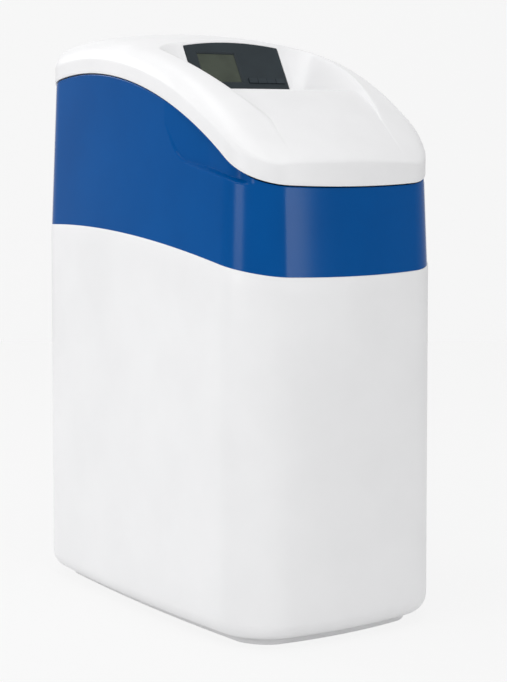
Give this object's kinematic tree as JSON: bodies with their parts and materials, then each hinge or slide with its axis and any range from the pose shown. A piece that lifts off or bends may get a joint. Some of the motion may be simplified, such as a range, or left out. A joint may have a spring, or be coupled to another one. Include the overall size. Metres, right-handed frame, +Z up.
{
  "type": "cabinet water softener",
  "caption": "Compact cabinet water softener: white brine cabinet, blue housing, hinged white lid with a sunken tilted display, resin vessel, piston valve and bypass.",
  "frame": {"origin": "middle of the footprint on the floor, under the middle of the cabinet", "axes": "+Z up, the front with the display faces -Y, +X to the right seen from the front"},
  "size_m": [0.2938, 0.5447, 0.6773],
  "materials": {
    "white_moulding": "smooth white moulding",
    "blue_moulding": "polished blue moulding",
    "dark_panel": "fine matt slate moulding",
    "display_glass": "clear display window",
    "key_slate": "matt slate keys",
    "black_moulding": "black reinforced moulding",
    "circuit_laminate": "green coated laminate",
    "vessel_shell": "wound glass-fibre shell",
    "resin": "amber bead resin, settled",
    "natural_plastic": "natural white moulding",
    "grey_plastic": "grey moulding",
    "turbine_blue": "blue moulding",
    "seal_rubber": "moulded seal rubber",
    "handle_red": "red moulding",
    "steel": "plated steel"
  },
  "bodies": {
    "base": {"cabinet": "white_moulding", "upper_housing": "blue_moulding", "hinge_leaf": "blue_moulding", "fascia_panel": "dark_panel", "control_housing": "dark_panel", "display_lens": "display_glass", "display_module": "black_moulding", "power_socket": "black_moulding", "vessel_boot": "black_moulding", "valve_body": "black_moulding", "drive_cap": "black_moulding", "bypass_body": "black_moulding", "drain_elbow": "black_moulding", "brine_elbow": "black_moulding", "overflow_fitting": "black_moulding", "overflow_nut": "black_moulding", "circuit_board": "circuit_laminate", "resin_vessel": "vessel_shell", "resin_bed": "resin", "riser_tube": "natural_plastic", "bottom_strainer": "natural_plastic", "top_strainer": "natural_plastic", "brine_line": "natural_plastic", "brine_well": "natural_plastic", "salt_grid": "natural_plastic", "valve_spacers": "grey_plastic", "drive_bracket": "grey_plastic", "turbine_cage": "grey_plastic", "union_nuts": "grey_plastic", "safety_brine_valve": "grey_plastic", "valve_seals": "seal_rubber", "overflow_seal": "seal_rubber", "hinge_pin": "steel", "hinge_screws": "steel", "drive_motor": "steel"},
    "lid_body": {"lid": "white_moulding", "lid_hinge_leaf": "white_moulding", "lid_screws": "steel"},
    "first_key": {"key_1": "key_slate"},
    "second_key": {"key_2": "key_slate"},
    "third_key": {"key_3": "key_slate"},
    "fourth_key": {"key_4": "key_slate"},
    "gear": {"drive_gear": "natural_plastic"},
    "pinion": {"motor_pinion": "natural_plastic"},
    "piston": {"valve_piston": "natural_plastic"},
    "turbine": {"meter_turbine": "turbine_blue"},
    "inlet_turn": {"inlet_handle": "handle_red"},
    "outlet_turn": {"outlet_handle": "handle_red"},
    "well_lid": {"brine_well_cap": "white_moulding"},
    "float": {"float_assembly": "natural_plastic"}
  },
  "joints": [
    {"name": "lid_hinge", "type": "hinge", "parent": "base", "child": "lid_body", "pos_m": [0, 0.25139, 0.60467], "axis": [-1, 0, 0], "range_deg": [0, 80]},
    {"name": "first_key_press", "type": "slide", "parent": "base", "child": "first_key", "axis": [0, 0.8746, -0.4848], "range_m": [0, 0.001], "stiffness_N_per_m": 400, "springref_m": -0.0005},
    {"name": "second_key_press", "type": "slide", "parent": "base", "child": "second_key", "axis": [0, 0.8746, -0.4848], "range_m": [0, 0.001], "stiffness_N_per_m": 400, "springref_m": -0.0005},
    {"name": "third_key_press", "type": "slide", "parent": "base", "child": "third_key", "axis": [0, 0.8746, -0.4848], "range_m": [0, 0.001], "stiffness_N_per_m": 400, "springref_m": -0.0005},
    {"name": "fourth_key_press", "type": "slide", "parent": "base", "child": "fourth_key", "axis": [0, 0.8746, -0.4848], "range_m": [0, 0.001], "stiffness_N_per_m": 400, "springref_m": -0.0005},
    {"name": "gear_spin", "type": "hinge", "parent": "base", "child": "gear", "pos_m": [0, 0.031, 0.5045], "axis": [0, 1, 0], "range_deg": [0, 720]},
    {"name": "pinion_spin", "type": "hinge", "parent": "base", "child": "pinion", "pos_m": [0, 0.031, 0.5565], "axis": [0, 1, 0], "range_deg": [-3024, 0]},
    {"name": "piston_slide", "type": "slide", "parent": "base", "child": "piston", "axis": [0, 1, 0], "range_m": [0, 0.04]},
    {"name": "turbine_spin", "type": "hinge", "parent": "base", "child": "turbine", "pos_m": [-0.042, 0.166, 0.5045], "axis": [0, 1, 0], "continuous": true},
    {"name": "inlet_handle_turn", "type": "hinge", "parent": "base", "child": "inlet_turn", "pos_m": [0.042, 0.212, 0.5285], "axis": [0, 0, 1], "range_deg": [0, 90]},
    {"name": "outlet_handle_turn", "type": "hinge", "parent": "base", "child": "outlet_turn", "pos_m": [-0.042, 0.212, 0.5285], "axis": [0, 0, -1], "range_deg": [0, 90]},
    {"name": "well_cap_lift", "type": "slide", "parent": "base", "child": "well_lid", "axis": [0, 0, 1], "range_m": [0, 0.06]},
    {"name": "float_rise", "type": "slide", "parent": "base", "child": "float", "axis": [0, 0, 1], "range_m": [0, 0.06]}
  ],
  "couplings": [
    {"joint": "pinion_spin", "follows": "gear_spin", "ratio": -4.2},
    {"joint": "piston_slide", "follows": "gear_spin", "m_per_rad": 0.003183}
  ]
}
